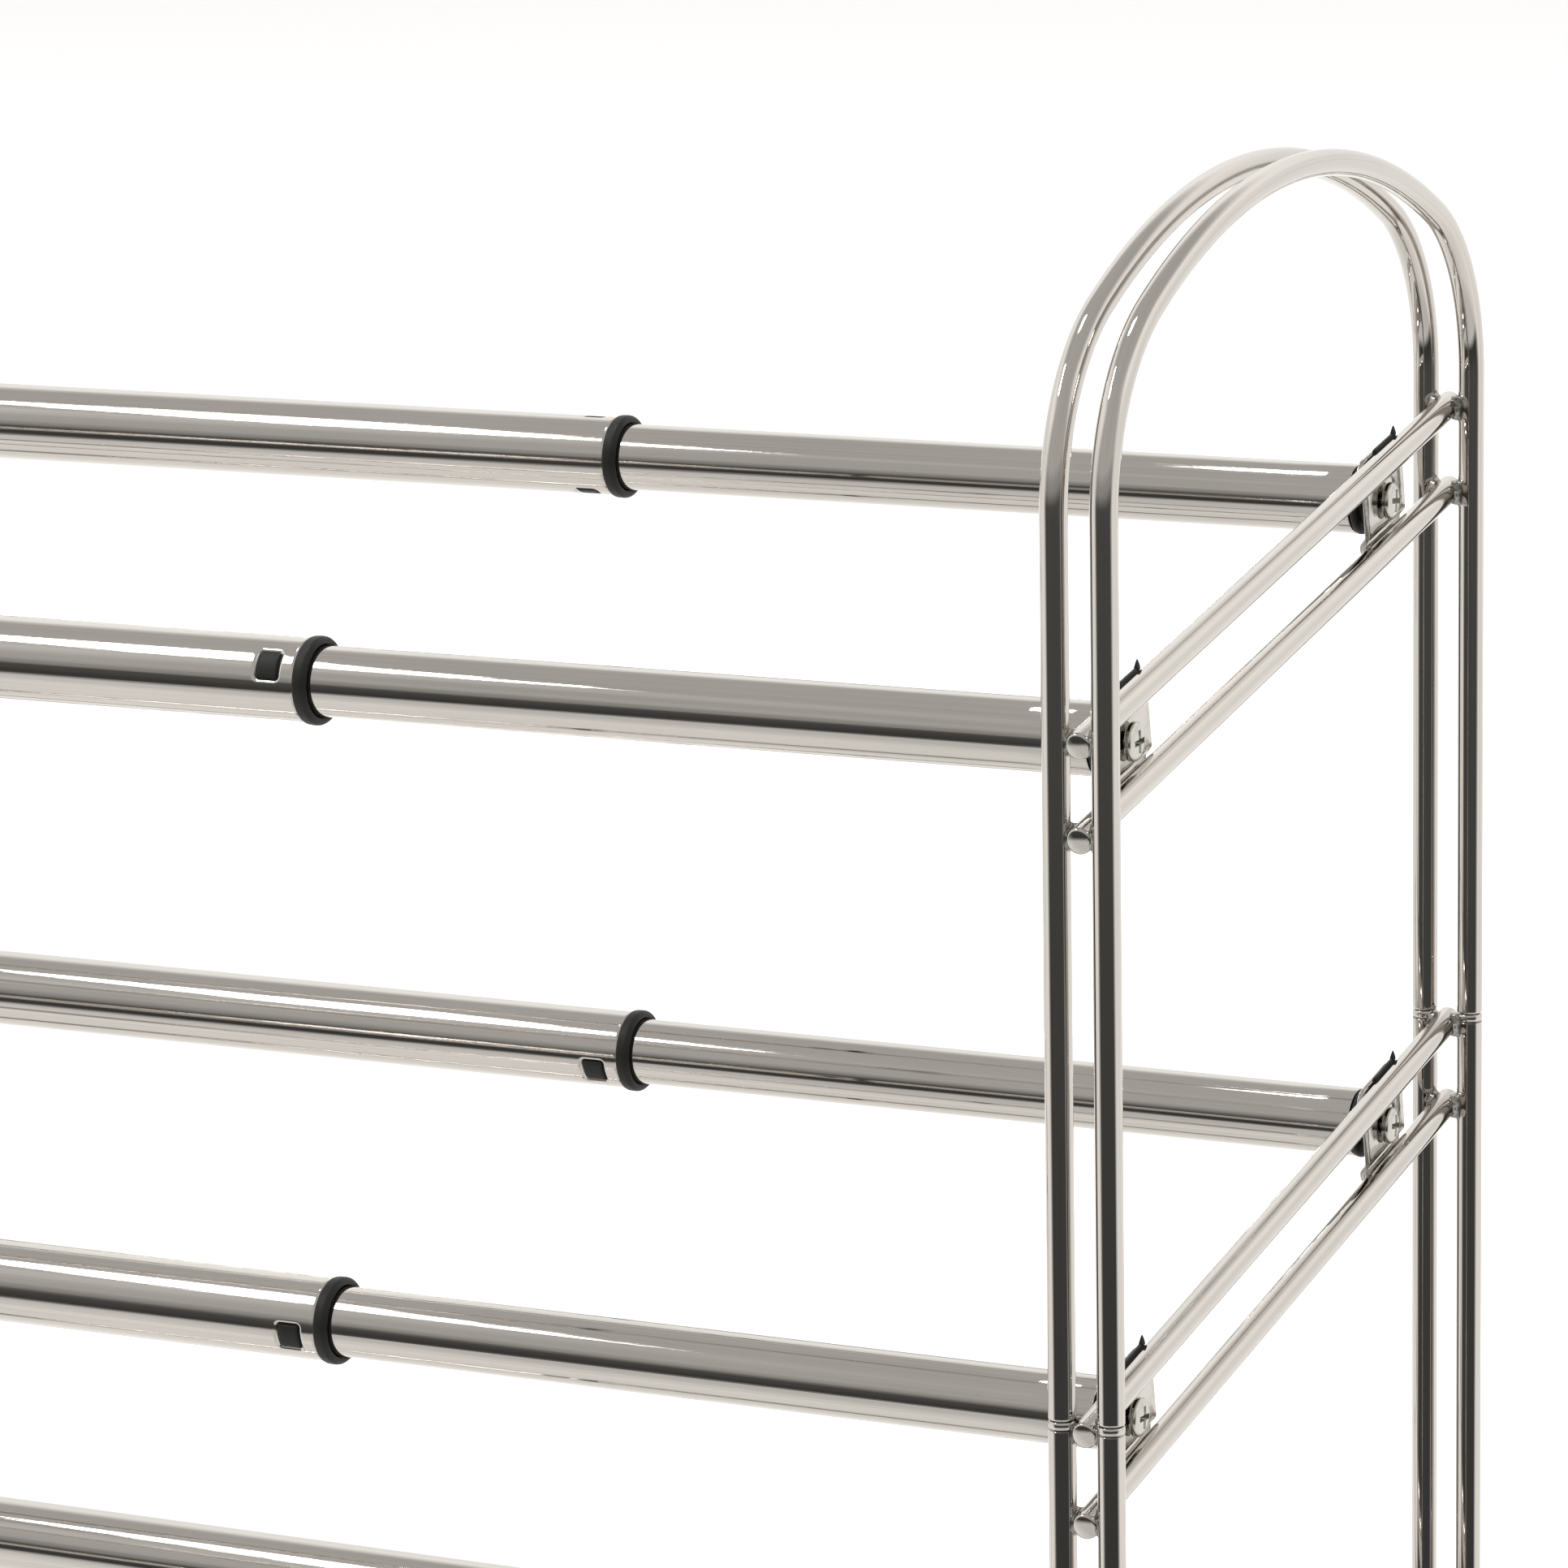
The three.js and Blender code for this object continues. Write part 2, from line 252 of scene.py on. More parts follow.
# ------------------------------------------------------------------ materials
def new_material(name):
    m = bpy.data.materials.new(name)
    m.use_nodes = True
    nt = m.node_tree
    nt.nodes.clear()
    out = nt.nodes.new("ShaderNodeOutputMaterial")
    b = nt.nodes.new("ShaderNodeBsdfPrincipled")
    nt.links.new(b.outputs[0], out.inputs[0])
    return m, nt, b


def noise(nt, coord, scale, stretch=(1, 1, 1), detail=4.0, rough=0.5, turn=(0, 0, 0)):
    mp = nt.nodes.new("ShaderNodeMapping")
    mp.inputs["Scale"].default_value = stretch
    mp.inputs["Rotation"].default_value = turn
    nt.links.new(coord, mp.inputs["Vector"])
    n = nt.nodes.new("ShaderNodeTexNoise")
    n.inputs["Scale"].default_value = scale
    n.inputs["Detail"].default_value = detail
    n.inputs["Roughness"].default_value = rough
    nt.links.new(mp.outputs[0], n.inputs["Vector"])
    return n.outputs["Fac"]


def ramp(nt, fac, stops):
    r = nt.nodes.new("ShaderNodeValToRGB")
    while len(r.color_ramp.elements) < len(stops):
        r.color_ramp.elements.new(0.5)
    for e, (p, c) in zip(r.color_ramp.elements, stops):
        e.position = p
        e.color = (*c, 1.0) if len(c) == 3 else c
    nt.links.new(fac, r.inputs[0])
    return r.outputs[0]


def remap(nt, fac, a, b, c, d):
    m = nt.nodes.new("ShaderNodeMapRange")
    m.inputs["From Min"].default_value = a
    m.inputs["From Max"].default_value = b
    m.inputs["To Min"].default_value = c
    m.inputs["To Max"].default_value = d
    nt.links.new(fac, m.inputs["Value"])
    return m.outputs[0]


def bump(nt, height, strength, distance, normal=None):
    b = nt.nodes.new("ShaderNodeBump")
    b.inputs["Strength"].default_value = strength
    b.inputs["Distance"].default_value = distance
    nt.links.new(height, b.inputs["Height"])
    if normal is not None:
        nt.links.new(normal, b.inputs["Normal"])
    return b.outputs[0]


def chrome(name, around, along, tint=(0.56, 0.532, 0.50), rough=(0.03, 0.06), streak=0.5, wave=0.08, stretched=0.9):
    """Bright plate over drawn steel: fine lines run along the metal and smear reflections across it,
    with slow thickness waves, faint haze and specks."""
    m, nt, b = new_material(name)
    co = nt.nodes.new("ShaderNodeTexCoord").outputs["Object"]
    uv = nt.nodes.new("ShaderNodeUVMap")
    uv.uv_map = "wrap"
    sep = nt.nodes.new("ShaderNodeSeparateXYZ")
    nt.links.new(uv.outputs[0], sep.inputs[0])

    def calc(op, a, b_=None):
        n = nt.nodes.new("ShaderNodeMath")
        n.operation = op
        nt.links.new(a, n.inputs[0])
        if b_ is not None:
            if isinstance(b_, (int, float)):
                n.inputs[1].default_value = b_
            else:
                nt.links.new(b_, n.inputs[1])
        return n.outputs[0]

    turn = calc("MULTIPLY", sep.outputs[0], 2 * math.pi)
    comb = nt.nodes.new("ShaderNodeCombineXYZ")
    nt.links.new(calc("MULTIPLY", calc("COSINE", turn), around), comb.inputs[0])
    nt.links.new(calc("MULTIPLY", calc("SINE", turn), around), comb.inputs[1])
    nt.links.new(calc("MULTIPLY", sep.outputs[1], along), comb.inputs[2])
    lines = nt.nodes.new("ShaderNodeTexNoise")
    lines.inputs["Scale"].default_value = 1.0
    lines.inputs["Detail"].default_value = 4.0
    lines.inputs["Roughness"].default_value = 0.6
    nt.links.new(comb.outputs[0], lines.inputs["Vector"])
    lines = lines.outputs["Fac"]
    cloud = noise(nt, co, 9.0, detail=3.0)
    fine = noise(nt, co, 420.0, detail=4.0, rough=0.6)
    lo = tuple(c * 0.93 for c in tint)
    hi = tuple(min(1.0, c * 1.05) for c in tint)
    shade = calc("ADD", calc("MULTIPLY", lines, 0.65), calc("MULTIPLY", cloud, 0.35))
    nt.links.new(ramp(nt, shade, [(0.36, lo), (0.5, tint), (0.64, hi)]), b.inputs["Base Color"])
    b.inputs["Metallic"].default_value = 1.0
    haze = calc("ADD", calc("MULTIPLY", lines, 0.6), calc("MULTIPLY", fine, 0.4))
    nt.links.new(remap(nt, haze, 0.35, 0.65, rough[0], rough[1]), b.inputs["Roughness"])
    b.inputs["Anisotropic"].default_value = stretched
    tg = nt.nodes.new("ShaderNodeTangent")
    tg.direction_type = "UV_MAP"
    tg.uv_map = "wrap"
    nt.links.new(tg.outputs[0], b.inputs["Tangent"])
    n1 = bump(nt, noise(nt, co, 38.0, detail=2.0), wave, 0.00015)
    n2 = bump(nt, lines, streak, 0.00003, n1)
    nt.links.new(n2, b.inputs["Normal"])
    return m


def pressed(name, tint, rough, grain=0.25, wave=0.35, dark=None):
    """Plated metal that wasn't drawn: even haze, small dents, specks, and darker blotches of painted shade where `dark`
    is given.
    """
    m, nt, b = new_material(name)
    co = nt.nodes.new("ShaderNodeTexCoord").outputs["Object"]
    cloud = noise(nt, co, 160.0, detail=4.0, rough=0.6)
    fine = noise(nt, co, 1500.0, detail=4.0, rough=0.6)
    # where given, `dark` is a painted shade tint for the darker blotches
    lo = dark or tuple(c * 0.9 for c in tint)
    hi = tuple(min(1.0, c * 1.05) for c in tint)
    nt.links.new(ramp(nt, cloud, [(0.36, lo), (0.54, tint), (0.7, hi)]), b.inputs["Base Color"])
    b.inputs["Metallic"].default_value = 1.0
    nt.links.new(remap(nt, fine, 0.3, 0.7, rough[0], rough[1]), b.inputs["Roughness"])
    n1 = bump(nt, cloud, wave, 0.0002)
    nt.links.new(bump(nt, fine, grain, 0.00002, n1), b.inputs["Normal"])
    return m


def plastic(name, colour=(0.0105, 0.0105, 0.01), rough=(0.4, 0.56), spec=0.24):
    """Black moulding: fine spark-eroded grain, slight flow marks and rubbed high spots."""
    m, nt, b = new_material(name)
    co = nt.nodes.new("ShaderNodeTexCoord").outputs["Object"]
    grain = noise(nt, co, 1900.0, detail=3.0, rough=0.6)
    flow = noise(nt, co, 120.0, stretch=(0.6, 1, 1), detail=4.0)
    hi = tuple(c * 1.28 for c in colour)
    lo = tuple(c * 0.82 for c in colour)
    nt.links.new(ramp(nt, flow, [(0.3, lo), (0.52, colour), (0.72, hi)]), b.inputs["Base Color"])
    nt.links.new(remap(nt, grain, 0.3, 0.7, rough[0], rough[1]), b.inputs["Roughness"])
    b.inputs["Specular IOR Level"].default_value = spec
    n1 = bump(nt, grain, 0.28, 0.00006)
    nt.links.new(bump(nt, flow, 0.12, 0.0002, n1), b.inputs["Normal"])
    return m


TUBE = chrome("chrome_tube", around=13.0, along=2.2)
WIRE = chrome("chrome_wire", around=5.0, along=4.0, streak=0.35)
# The weld's dark base colour and its darker blotches are painted shade for the creases where the bars pass between the
# wires.
WELD = pressed("chrome_weld", (0.34, 0.335, 0.31), (0.16, 0.32), dark=(0.15, 0.148, 0.138), wave=0.6)
PRESSED = pressed("plated_pressing", (0.56, 0.537, 0.505), (0.07, 0.15))
SCREW = pressed("plated_screw", (0.55, 0.545, 0.50), (0.09, 0.2))
BLACK = plastic("black_moulding")
FOOT = plastic("black_foot_moulding", colour=(0.02, 0.02, 0.02), rough=(0.45, 0.62))


# ------------------------------------------------------------------ end frames
def bar_line(z_front, depth):
    """Ends of a cross bar whose axis passes the front uprights at z_front."""
    t = math.tan(SLOPE)
    return (0.0, -depth / 2 - BAR_OVERRUN, z_front - BAR_OVERRUN * t), (0.0, depth / 2 + BAR_OVERRUN, z_front + (depth + BAR_OVERRUN) * t)


def fillet_piece(rear, wire_top):
    """The weld metal where a bar passes between two wires: a remeshed and relaxed copy of the crossing,
    which sinks just inside the round wires everywhere but in the creases between them."""
    s = Soup()
    for x in (-PAIR, PAIR):
        s.add(*rod((x, 0, -6.0), (x, 0, wire_top), WIRE_R, 20, step=3.0))
    t = math.tan(SLOPE)
    y0, y1 = (-7.5, BAR_OVERRUN) if rear else (-BAR_OVERRUN, 7.5)
    s.add(*rod((0, y0, y0 * t), (0, y1, y1 * t), WIRE_R, 20, step=3.0, edge=0.7))
    side = -1 if rear else 1
    for x in (-1, 1):
        for z, y, r in ((1.3, 1.7, 1.25), (-1.5, 2.0, 1.35), (-0.1, 2.9, 1.1)):
            a = np.array((x * 2.75, side * y, z + side * y * t))
            s.add(*rod(a - (0, 0, r), a + (0, 0, r), r, 16, step=1.0, edge=r * 0.6))
        a = np.array((x * 2.8, -side * 0.6, 0.0))
        s.add(*rod(a - (0, 0, 1.3), a + (0, 0, 1.3), 1.0, 16, step=1.0, edge=0.6))
    v, f, _, _ = s.arrays()
    me = bpy.data.meshes.new("weld_tmp")
    me.from_pydata(v.tolist(), [], [list(q) for q in f])
    o = bpy.data.objects.new("weld_tmp", me)
    bpy.context.scene.collection.objects.link(o)
    r = o.modifiers.new("remesh", "REMESH")
    r.mode = "VOXEL"
    r.voxel_size = 0.3
    sm = o.modifiers.new("smooth", "SMOOTH")
    sm.factor = 0.5
    sm.iterations = 12
    out = applied(o)
    v, f = arrays_of(out)
    bpy.data.meshes.remove(out)
    return v, f


WELDS = {(rear, top): fillet_piece(rear, 6.0 if top else SPLIT_ABOVE_BAR - 0.6) for rear in (False, True) for top in (True, False)}


def add_bar(s, z_front, depth, open_top=True):
    a, b = bar_line(z_front, depth)
    s.add(*rod(a, b, WIRE_R, 32, step=9.0, edge=0.75, start=z_front * 0.013))
    for rear, y, z in ((False, -depth / 2, z_front), (True, depth / 2, z_front + depth * math.tan(SLOPE))):
        v, f = WELDS[(rear, open_top)]
        s.add(v + (0, y, z), f, None, 1)


def arch_path(depth, z_top, z_front, z_rear):
    """Front upright, front shoulder, crown, rear shoulder, rear upright; z_top is the crown's centreline height."""
    half = depth / 2
    cy = half - CORNER_R
    lean = math.asin(cy / (CROWN_R - CORNER_R))
    crown_z = z_top - CROWN_R
    start = crown_z + (CROWN_R - CORNER_R) * math.cos(lean)
    pts = [(-half, z) for z in np.arange(z_front, start - 4, 11.0)] + [(-half, start - 2)]
    for a in np.linspace(math.pi, math.pi / 2 + lean, 34):
        pts.append((-cy + CORNER_R * math.cos(a), start + CORNER_R * math.sin(a)))
    for a in np.linspace(math.pi / 2 + lean, math.pi / 2 - lean, 36)[1:-1]:
        pts.append((CROWN_R * math.cos(a), crown_z + CROWN_R * math.sin(a)))
    for a in np.linspace(math.pi / 2 - lean, 0, 34):
        pts.append((cy + CORNER_R * math.cos(a), start + CORNER_R * math.sin(a)))
    pts += [(half, start - 2)] + [(half, z) for z in np.arange(start - 4, z_rear + 3, -11.0)] + [(half, z_rear)]
    return pts


def upper_frame(end):
    node = f"upper_end_frame_{end}"
    lo, hi = (np.array(c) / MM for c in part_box(node))
    llo, lhi = (np.array(c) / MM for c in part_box(f"lower_end_frame_{end}"))
    depth = (hi[1] - lo[1]) - 2 * WIRE_R
    z_rear = lhi[2] + 2 * HALF_GAP
    z_front = z_rear - depth * math.tan(SLOPE)
    s = Soup()
    for x in (-PAIR, PAIR):
        pts = arch_path(depth, hi[2] - WIRE_R, z_front + 0.5, z_rear + 0.5)
        face = [(0.0, WIRE_R - 0.22), (0.08, WIRE_R - 0.1), (0.28, WIRE_R)]
        path = [(x, -depth / 2, z_front + h) for h, _ in face] + [(x, y, z) for y, z in pts] + [(x, depth / 2, z_rear + h) for h, _ in reversed(face)]
        rad = [r for _, r in face] + [WIRE_R] * len(pts) + [r for _, r in reversed(face)]
        s.add(*sweep(path, rad, 36, start=0.7 * x))
        for y, z in ((-depth / 2, z_front), (depth / 2, z_rear)):
            s.add(*turned_z([(z - 12.0, 0.0), (z - 12.0, 1.3), (z - 11.3, 1.95), (z + 1.5, 1.95), (z + 1.5, 0.0)], 24, x, y))
    top_bar = z_front - HALF_GAP - SPLIT_ABOVE_BAR + 148.0
    add_bar(s, top_bar, depth)
    add_bar(s, top_bar - BAR_SPACING, depth)
    v, f, uv, m = s.arrays()
    me = make_mesh(node + "_wires", v + ((lo[0] + hi[0]) / 2, 0, 0), f, uv, [WIRE, WELD], m)
    place(node + "_wires", me, f"{end}_upper", [node])


def lower_frame(end):
    node = f"lower_end_frame_{end}"
    lo, hi = (np.array(c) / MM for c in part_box(node))
    ulo, uhi = (np.array(c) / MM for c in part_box(f"upper_end_frame_{end}"))
    depth = (uhi[1] - ulo[1]) - 2 * WIRE_R
    top_rear = hi[2]
    top_front = top_rear - depth * math.tan(SLOPE)
    cx = (lo[0] + hi[0]) / 2
    s = Soup()
    legs = [(x, y, t) for x in (-PAIR, PAIR) for y, t in ((-depth / 2, top_front), (depth / 2, top_rear))]
    for x, y, t in legs:
        # rolled lip round the socket, with a shallow groove under it
        profile = [(1.2, 0.0), (1.2, 2.4), (1.8, WIRE_R)] + [(z, WIRE_R) for z in np.linspace(14, t - 3.2, 16)] + [
            (t - 2.05, WIRE_R), (t - 1.9, WIRE_R - 0.13), (t - 1.72, WIRE_R - 0.16), (t - 1.55, WIRE_R - 0.06), (t - 1.4, WIRE_R + 0.02),
            (t - 0.5, WIRE_R + 0.03), (t - 0.2, WIRE_R - 0.03), (t - 0.04, WIRE_R - 0.16), (t, WIRE_R - 0.34),
            (t - 0.02, 2.48), (t - 0.2, 2.37), (t - 14.0, 2.35), (t - 14.0, 0.0)]
        s.add(*turned_z(profile, 36, x, y))
    z0 = top_front + HALF_GAP - SPLIT_ABOVE_BAR
    add_bar(s, z0, depth, open_top=False)
    add_bar(s, z0 - BAR_SPACING, depth)
    add_bar(s, z0 - 148.0, depth)
    add_bar(s, z0 - 148.0 - BAR_SPACING, depth)
    v, f, uv, m = s.arrays()
    me = make_mesh(node + "_wires", v + (cx, 0, 0), f, uv, [WIRE, WELD], m)
    place(node + "_wires", me, f"{end}_lower", [node])
    foot = rounded([(0.0, 0.0), (0.0, 3.95), (1.2, 4.1), (9.4, 3.85), (11.0, 3.75), (11.0, 3.02), (9.0, 3.02)], 0.45, 4)
    foot = foot + [(9.0, 0.0)]
    for i, (x, y, _) in enumerate(legs):
        v, f, uv = turned_z(foot, 40, x + cx, y)
        me = make_mesh("foot", v, f, uv, [FOOT])
        row = "front" if y < 0 else "rear"
        side = "inner" if (x < 0) == (end == "right") else "outer"
        place(f"foot_cap_{row}_{end}_{side}", me, f"{end}_lower")


# ------------------------------------------------------------------ rails
CUT_L = 6.6
WINDOW_L, WINDOW_W, WINDOW_CORNER = 5.9, 6.7, 0.8


def loop_points(hl, hw, r, n):
    """Rounded rectangle, n points evenly along each of its eight stretches."""
    out = []
    for cx, cy, a0 in ((hl - r, hw - r, 0), (-hl + r, hw - r, 90), (-hl + r, -hw + r, 180), (hl - r, -hw + r, 270)):
        for k in range(n):
            a = math.radians(a0 + 90 * k / (n - 1))
            out.append((cx + r * math.cos(a), cy + r * math.sin(a)))
    dense = []
    for i, p in enumerate(out):
        q = out[(i + 1) % len(out)]
        d = math.dist(p, q)
        parts = max(1, round(d / 0.45))
        dense += [(p[0] + (q[0] - p[0]) * k / parts, p[1] + (q[1] - p[1]) * k / parts) for k in range(parts)]
    return dense


def window_distance(x, a):
    """Distance in the unrolled wall from a window's edge, negative inside."""
    qx = np.abs(x) - (WINDOW_L / 2 - WINDOW_CORNER)
    qa = np.abs(a) - (WINDOW_W / 2 - WINDOW_CORNER)
    return np.hypot(np.maximum(qx, 0), np.maximum(qa, 0)) + np.minimum(np.maximum(qx, qa), 0) - WINDOW_CORNER


def tube_with_windows(x0, x1, r_out, wall, window_x, angle, segments=96):
    """Outer rail tube: two punched windows with their rims drawn in, and softly rounded mouths."""
    period = 2 * math.pi * r_out
    start = math.radians(angle) * r_out - period / 4
    centres = (start + period / 4, start + 3 * period / 4)
    lip, reach = 0.42, 0.85

    def radius(x, a):
        drop = np.zeros_like(x)
        for c in centres:
            d = window_distance(x - window_x, a - c)
            k = np.clip(1 - d / reach, 0, 1)
            drop = np.maximum(drop, lip * k * k * (1 + 0.35 * k))
        for s in (x - x0, x1 - x):
            k = np.clip(1 - s / 0.55, 0, 1)
            drop = np.maximum(drop, 0.22 * k * k)
        return r_out - drop

    xs = [x0 + s for s in (0, 0.1, 0.22, 0.38, 0.6)] + list(np.linspace(x0, x1 - 22, 30)[1:]) + list(np.linspace(x1 - 21, x1 - 1, 21)) + [x1 - s for s in (0.6, 0.38, 0.22, 0.1, 0)]
    cols = [start + period * k / segments for k in range(segments + 1)]
    verts, seam_l, seam_r = [], {}, {}
    for i, x in enumerate(xs):
        for k, a in enumerate(cols):
            if 0 < i < len(xs) - 1 and 0 < k < segments and any(window_distance(np.float64(x - window_x), np.float64(a - c)) < 0.98 for c in centres):
                continue
            if k == 0:
                seam_l[i] = len(verts)
            if k == segments:
                seam_r[i] = len(verts)
            verts.append((x, a))
    edges = []
    for side in (seam_l, seam_r):
        ks = sorted(side)
        edges += [(side[p], side[q]) for p, q in zip(ks, ks[1:])]
    loops = []
    for c in centres:
        for off in (0.0, 0.07, 0.16, 0.28, 0.44, 0.64, 0.85):
            pts = loop_points(WINDOW_L / 2 + off, WINDOW_W / 2 + off, WINDOW_CORNER + off, 7)
            base = len(verts)
            verts += [(window_x + p, c + q) for p, q in pts]
            if off == 0.0:
                ring = list(range(base, base + len(pts)))
                loops.append(ring)
                edges += [(ring[i], ring[(i + 1) % len(ring)]) for i in range(len(ring))]
    out_v, _, out_f, orig, _, _ = delaunay_2d_cdt([Vector(p) for p in verts], edges, [], 0, 1e-5)
    back = {}
    for i, o in enumerate(orig):
        for j in o:
            back[j] = i
    xy = np.array([tuple(p) for p in out_v])
    keep = []
    for f in out_f:
        c = xy[list(f)].mean(0)
        if any(window_distance(np.float64(c[0] - window_x), np.float64(c[1] - w)) < 0 for w in centres):
            continue
        keep.append(f)
    weld = np.arange(len(xy))
    for i in seam_l:
        if i in seam_r:
            weld[back[seam_r[i]]] = back[seam_l[i]]
    loops = [[weld[back[j]] for j in ring] for ring in loops]
    x, a = xy[:, 0], xy[:, 1]
    r = radius(x, a)
    e = 0.02
    rx = (radius(x + e, a) - radius(x - e, a)) / (2 * e)
    ra = (radius(x, a + e) - radius(x, a - e)) / (2 * e)
    rx[np.abs(x - x0) < 1e-6] = 0.8
    rx[np.abs(x - x1) < 1e-6] = -0.8
    w = a / r_out
    # angle 0 faces the front (-Y), 90 faces up
    radial = np.stack([np.zeros_like(w), -np.cos(w), np.sin(w)], 1)
    around = np.stack([np.zeros_like(w), np.sin(w), np.cos(w)], 1)
    normal = radial - rx[:, None] * np.array([1.0, 0, 0]) - ra[:, None] * around
    normal /= np.linalg.norm(normal, axis=1)[:, None]
    along = np.stack([x, np.zeros_like(x), np.zeros_like(x)], 1)
    outer = along + radial * r[:, None]
    inner = along + radial * (r - wall)[:, None]
    nv = len(xy)
    faces, normals, uvs = [], [], []
    wrap = [(q / period, p * MM) for p, q in xy]
    for f in keep:
        g = [int(weld[i]) for i in f]
        if len(set(g)) < 3:
            continue
        p = outer[list(f)]
        face_n = np.cross(p[1] - p[0], p[2] - p[0])
        if face_n @ radial[f[0]] < 0:
            g, f = g[::-1], tuple(reversed(f))
        faces.append(tuple(g))
        normals += [normal[i] for i in f]
        uvs.append([wrap[i] for i in f])
        faces.append(tuple(nv + i for i in reversed(g)))
        normals += [-normal[i] for i in reversed(f)]
        uvs.append([wrap[i] for i in reversed(f)])
    all_v = np.concatenate([outer, inner])
    ends = []
    for i, sign in ((0, -1), (len(xs) - 1, 1)):
        ring = [int(weld[j]) for j in sorted((j for j in range(nv) if abs(x[j] - xs[i]) < 1e-6), key=lambda j: a[j])]
        ring = list(dict.fromkeys(ring))
        ends.append((ring, sign))
    for ring, sign in ends:
        for k in range(len(ring)):
            p, q = ring[k], ring[(k + 1) % len(ring)]
            quad = (p, q, nv + q, nv + p)
            c = all_v[list(quad)]
            n = np.cross(c[1] - c[0], c[2] - c[0])
            if n[0] * sign < 0:
                quad = quad[::-1]
            faces.append(quad)
            normals += [np.array([sign, 0.0, 0.0])] * 4
            uvs.append([(k / len(ring), 0.0), ((k + 1) / len(ring), 0.0), ((k + 1) / len(ring), 0.001), (k / len(ring), 0.001)])
    for ring, cw in zip(loops, centres):
        mid = np.array([window_x, -math.cos(cw / r_out) * r_out, math.sin(cw / r_out) * r_out])
        for k in range(len(ring)):
            p, q = int(ring[k]), int(ring[(k + 1) % len(ring)])
            quad = (p, q, nv + q, nv + p)
            c = all_v[list(quad)]
            n = np.cross(c[1] - c[0], c[2] - c[0])
            n /= np.linalg.norm(n)
            if n @ (mid - c.mean(0)) < 0:
                quad, n = quad[::-1], -n
            faces.append(quad)
            normals += [n] * 4
            uvs.append([(k / len(ring), 0.0), ((k + 1) / len(ring), 0.0), ((k + 1) / len(ring), 0.001), (k / len(ring), 0.001)])
    return all_v, faces, normals, uvs


def tube_mesh(name, verts, faces, normals, uvs, material):
    me = bpy.data.meshes.new(name)
    used = sorted({i for f in faces for i in f})
    new = {j: i for i, j in enumerate(used)}
    me.from_pydata((verts[used] * MM).tolist(), [], [[new[i] for i in f] for f in faces])
    me.materials.append(material)
    me.polygons.foreach_set("use_smooth", np.ones(len(me.polygons), bool))
    fill_wrap(me, uvs)
    me.update()
    me.normals_split_custom_set([tuple(n) for n in normals])
    return me


def tab_shell(angle, r_in, r_out, hl, hw, window_x):
    """Snap tab of a collar: a patch of the sleeve that stands up in the tube's window, with rolled edges."""
    n = 26
    verts, faces = [], []
    t = np.linspace(-1, 1, n)
    t = np.sign(t) * (1 - (1 - np.abs(t)) ** 1.6)
    for level in (0, 1):
        for p in t:
            for q in t:
                edge = max(abs(p), abs(q))
                k = (1 - edge ** 14) ** 0.5 if level else 0.0
                r = r_in + (r_out - r_in) * k
                w = math.radians(angle) + q * hw / r_out
                verts.append((window_x + p * hl, -math.cos(w) * r, math.sin(w) * r))
    for level in (0, 1):
        b = level * n * n
        for i in range(n - 1):
            for j in range(n - 1):
                f = (b + i * n + j, b + i * n + j + 1, b + (i + 1) * n + j + 1, b + (i + 1) * n + j)
                faces.append(f if level else f[::-1])
    return np.array(verts), faces


def collar_mesh(x, width, angle, window_x, flange_r, sleeve_l):
    """Reducing collar: rounded flange, sleeve inside the tube and two snap tabs. x is the tube's mouth."""
    r_in, r_sleeve = 8.15, 8.85
    flange = [
        (x - sleeve_l, r_in + 0.1), (x - sleeve_l, r_sleeve - 0.25), (x - sleeve_l + 1.2, r_sleeve), (x, r_sleeve),
        (x + 0.02, flange_r - 0.1), (x + 0.55, flange_r + 0.02), (x + width * 0.5, flange_r + 0.06), (x + width - 0.75, flange_r),
        (x + width, flange_r - 0.75), (x + width, r_in + 0.45), (x + width - 0.45, r_in)]
    prof = rounded(flange, 0.42, 4)
    s = Soup().add(*lathe(prof, 112, closed=True))
    for a in (angle, angle + 180):
        s.add(*tab_shell(a, r_sleeve - 0.35, 9.38, WINDOW_L / 2 - 0.3, WINDOW_W / 2 - 0.3, window_x))
    return s.arrays()


def inner_tube_mesh(x0, x1, r_out, wall):
    e = 0.35
    outer = [(x0, r_out - wall * 0.7), (x0 + 0.03, r_out - 0.22), (x0 + 0.14, r_out - 0.07), (x0 + e, r_out)]
    outer += [(x, r_out) for x in np.linspace(x0, x1, 40)[1:-1]]
    outer += [(x1 - e, r_out), (x1 - 0.14, r_out - 0.07), (x1 - 0.03, r_out - 0.22), (x1, r_out - wall * 0.7)]
    inner = [(x1 - 0.1, r_out - wall)] + [(x, r_out - wall) for x in np.linspace(x1, x0, 12)[1:-1]] + [(x0 + 0.1, r_out - wall)]
    return lathe(outer + inner, 96, closed=True)


def plug_mesh(x_tube_end, r_body, r_flange, side):
    """Tube-end plug at the right-hand end (mirrored for the left): flange on the tube, boss under the clamp plate."""
    x = x_tube_end + DISH + 0.3
    prof = [(x - 13, 2.1), (x - 13, r_body - 0.9), (x - 11.6, r_body), (x - 0.2, r_body), (x - 0.02, r_flange - 0.25), (x + 0.3, r_flange),
            (x + 1.1, r_flange), (x + 1.6, r_flange - 0.55), (x + 1.65, 6.0), (x + 1.9, 5.6), (x + 4.5, 5.5), (x + 4.5, 2.4), (x + 4.2, 2.0)]
    return lathe(rounded(prof, 0.3, 3), 80, closed=True, mirror=side < 0)


